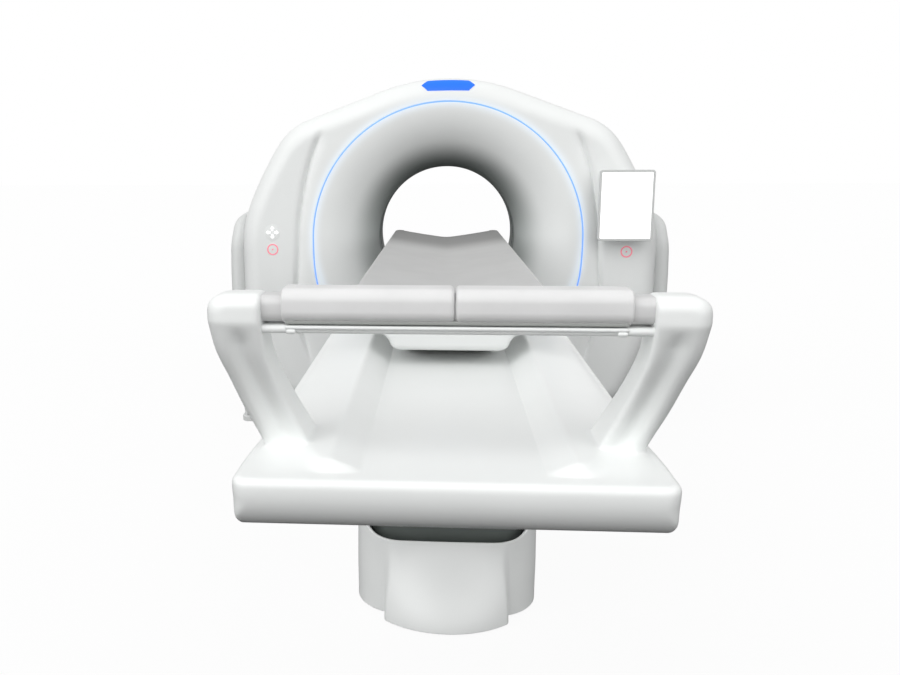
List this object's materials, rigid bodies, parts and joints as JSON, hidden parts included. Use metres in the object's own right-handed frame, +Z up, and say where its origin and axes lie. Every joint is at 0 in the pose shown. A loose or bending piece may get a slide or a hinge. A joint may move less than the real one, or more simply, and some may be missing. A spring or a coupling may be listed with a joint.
{
  "type": "computed tomography scanner",
  "caption": "Tilting ring gantry on stands, with a flared bore and a ring of light, and a lifting patient table with a sliding V cradle, foot plate, arms and grip bar.",
  "frame": {"origin": "on the floor, under the middle of the overall length and width", "axes": "+X to the right seen from the foot end, +Y along the bore axis from the foot end of the table to the gantry, +Z up"},
  "size_m": [2.3624, 3.8, 1.785],
  "materials": {
    "shell_white": "satin moulded cover",
    "liner_grey": "matt",
    "window_dark": "thin polyester film",
    "light_blue": "diffusing light guide",
    "light_deep_blue": "diffusing lens",
    "grip_grey": "soft-touch",
    "bar_grey": "satin",
    "cradle_grey": "carbon laminate under a satin gel coat",
    "frame_paint": "powder coat",
    "duct_grey": "matt",
    "machined_steel": "ground",
    "unit_aluminium": "cast and machined",
    "ring_copper": "copper tracks",
    "brush_plastic": "matt",
    "belt_rubber": "ribbed belt",
    "key_plastic": "gloss, lit from behind",
    "tablet_plastic": "satin",
    "screen_glass": "display showing a plain white page"
  },
  "bodies": {
    "base": {"gantry_base": "frame_paint", "stand_cover_right": "shell_white", "stand_cover_left": "shell_white", "stand_frame_right": "frame_paint", "stand_frame_left": "frame_paint", "tilt_gearmotor": "unit_aluminium", "floor_duct": "duct_grey", "pedestal_cover": "shell_white", "pedestal_base": "frame_paint", "lift_motor": "unit_aluminium"},
    "tilting_gantry": {"gantry_frame": "frame_paint", "front_cover": "shell_white", "side_cover_right": "shell_white", "side_cover_left": "shell_white", "rear_cover": "shell_white", "rear_grille_right": "duct_grey", "rear_grille_left": "duct_grey", "front_funnel": "shell_white", "front_liner": "liner_grey", "scan_window": "window_dark", "rear_liner": "liner_grey", "rear_funnel": "shell_white", "light_ring": "light_blue", "status_light": "light_deep_blue", "outer_race": "machined_steel", "brush_block": "brush_plastic", "drive_motor": "unit_aluminium", "drive_belt": "belt_rubber", "tablet_bracket": "duct_grey"},
    "rotor": {"rotor_drum": "frame_paint", "inner_race": "machined_steel", "slip_ring": "ring_copper", "xray_tube": "unit_aluminium", "detector_arc": "unit_aluminium", "high_voltage_tank": "unit_aluminium", "heat_exchanger": "unit_aluminium", "power_unit": "unit_aluminium", "data_box": "unit_aluminium"},
    "pulley": {"drive_pulley": "machined_steel"},
    "tablet": {"tablet_housing": "tablet_plastic", "tablet_screen": "screen_glass"},
    "move_key": {"move_key": "key_plastic"},
    "stop_key_left": {"stop_key_left": "key_plastic"},
    "stop_key_right": {"stop_key_right": "key_plastic"},
    "column_stage": {"column_middle": "shell_white"},
    "screw": {"lift_screw": "machined_steel"},
    "table": {"table_frame": "frame_paint", "table_skirt": "shell_white", "foot_end": "shell_white", "deck_cover": "shell_white", "handle_bar": "bar_grey", "bar_rail": "shell_white", "grip_right": "grip_grey", "grip_left": "grip_grey", "front_support": "unit_aluminium"},
    "cradle": {"cradle": "cradle_grey", "cradle_trolley": "shell_white"},
    "roller_front": {"roller_front": "machined_steel"},
    "roller_rear": {"roller_rear": "machined_steel"}
  },
  "joints": [
    {"name": "gantry_tilt", "type": "hinge", "parent": "base", "child": "tilting_gantry", "pos_m": [0, 1.425, 1], "axis": [1, 0, 0], "range_deg": [-24, 24]},
    {"name": "rotor_spin", "type": "hinge", "parent": "tilting_gantry", "child": "rotor", "pos_m": [0, 1.425, 1], "axis": [0, 1, 0], "continuous": true},
    {"name": "pulley_spin", "type": "hinge", "parent": "tilting_gantry", "child": "pulley", "pos_m": [-0.64, 1.58, 0.36], "axis": [0, 1, 0], "continuous": true},
    {"name": "table_lift", "type": "slide", "parent": "base", "child": "table", "axis": [0, 0, 1], "range_m": [-0.12, 0.08]},
    {"name": "column_slide", "type": "slide", "parent": "base", "child": "column_stage", "axis": [0, 0, 1], "range_m": [-0.06, 0.04]},
    {"name": "screw_spin", "type": "hinge", "parent": "base", "child": "screw", "pos_m": [0, -0.345, 0.2], "axis": [0, 0, 1], "range_deg": [-2161, 1441]},
    {"name": "cradle_slide", "type": "slide", "parent": "table", "child": "cradle", "axis": [0, 1, 0], "range_m": [-0.87, 0.75]},
    {"name": "roller_front_spin", "type": "hinge", "parent": "table", "child": "roller_front", "pos_m": [0, 0.507, 0.9196], "axis": [1, 0, 0], "range_deg": [-1720, 1995]},
    {"name": "roller_rear_spin", "type": "hinge", "parent": "table", "child": "roller_rear", "pos_m": [0, 0.573, 0.9196], "axis": [1, 0, 0], "range_deg": [-1720, 1995]},
    {"name": "tablet_tilt", "type": "hinge", "parent": "tilting_gantry", "child": "tablet", "pos_m": [0.852, 0.917, 1.173], "axis": [1, 0, 0], "range_deg": [-15, 15]},
    {"name": "move_key_press", "type": "slide", "parent": "tilting_gantry", "child": "move_key", "axis": [0, 1, 0], "range_m": [0, 0.003], "stiffness_N_per_m": 400},
    {"name": "stop_left_press", "type": "slide", "parent": "tilting_gantry", "child": "stop_key_left", "axis": [0, 1, 0], "range_m": [0, 0.003], "stiffness_N_per_m": 400},
    {"name": "stop_right_press", "type": "slide", "parent": "tilting_gantry", "child": "stop_key_right", "axis": [0, 1, 0], "range_m": [0, 0.003], "stiffness_N_per_m": 400}
  ],
  "couplings": [
    {"joint": "pulley_spin", "follows": "rotor_spin", "ratio": 12.25},
    {"joint": "column_slide", "follows": "table_lift", "ratio": 0.5},
    {"joint": "screw_spin", "follows": "table_lift", "rad_per_m": 314.16},
    {"joint": "roller_front_spin", "follows": "cradle_slide", "rad_per_m": -40},
    {"joint": "roller_rear_spin", "follows": "cradle_slide", "rad_per_m": -40}
  ]
}
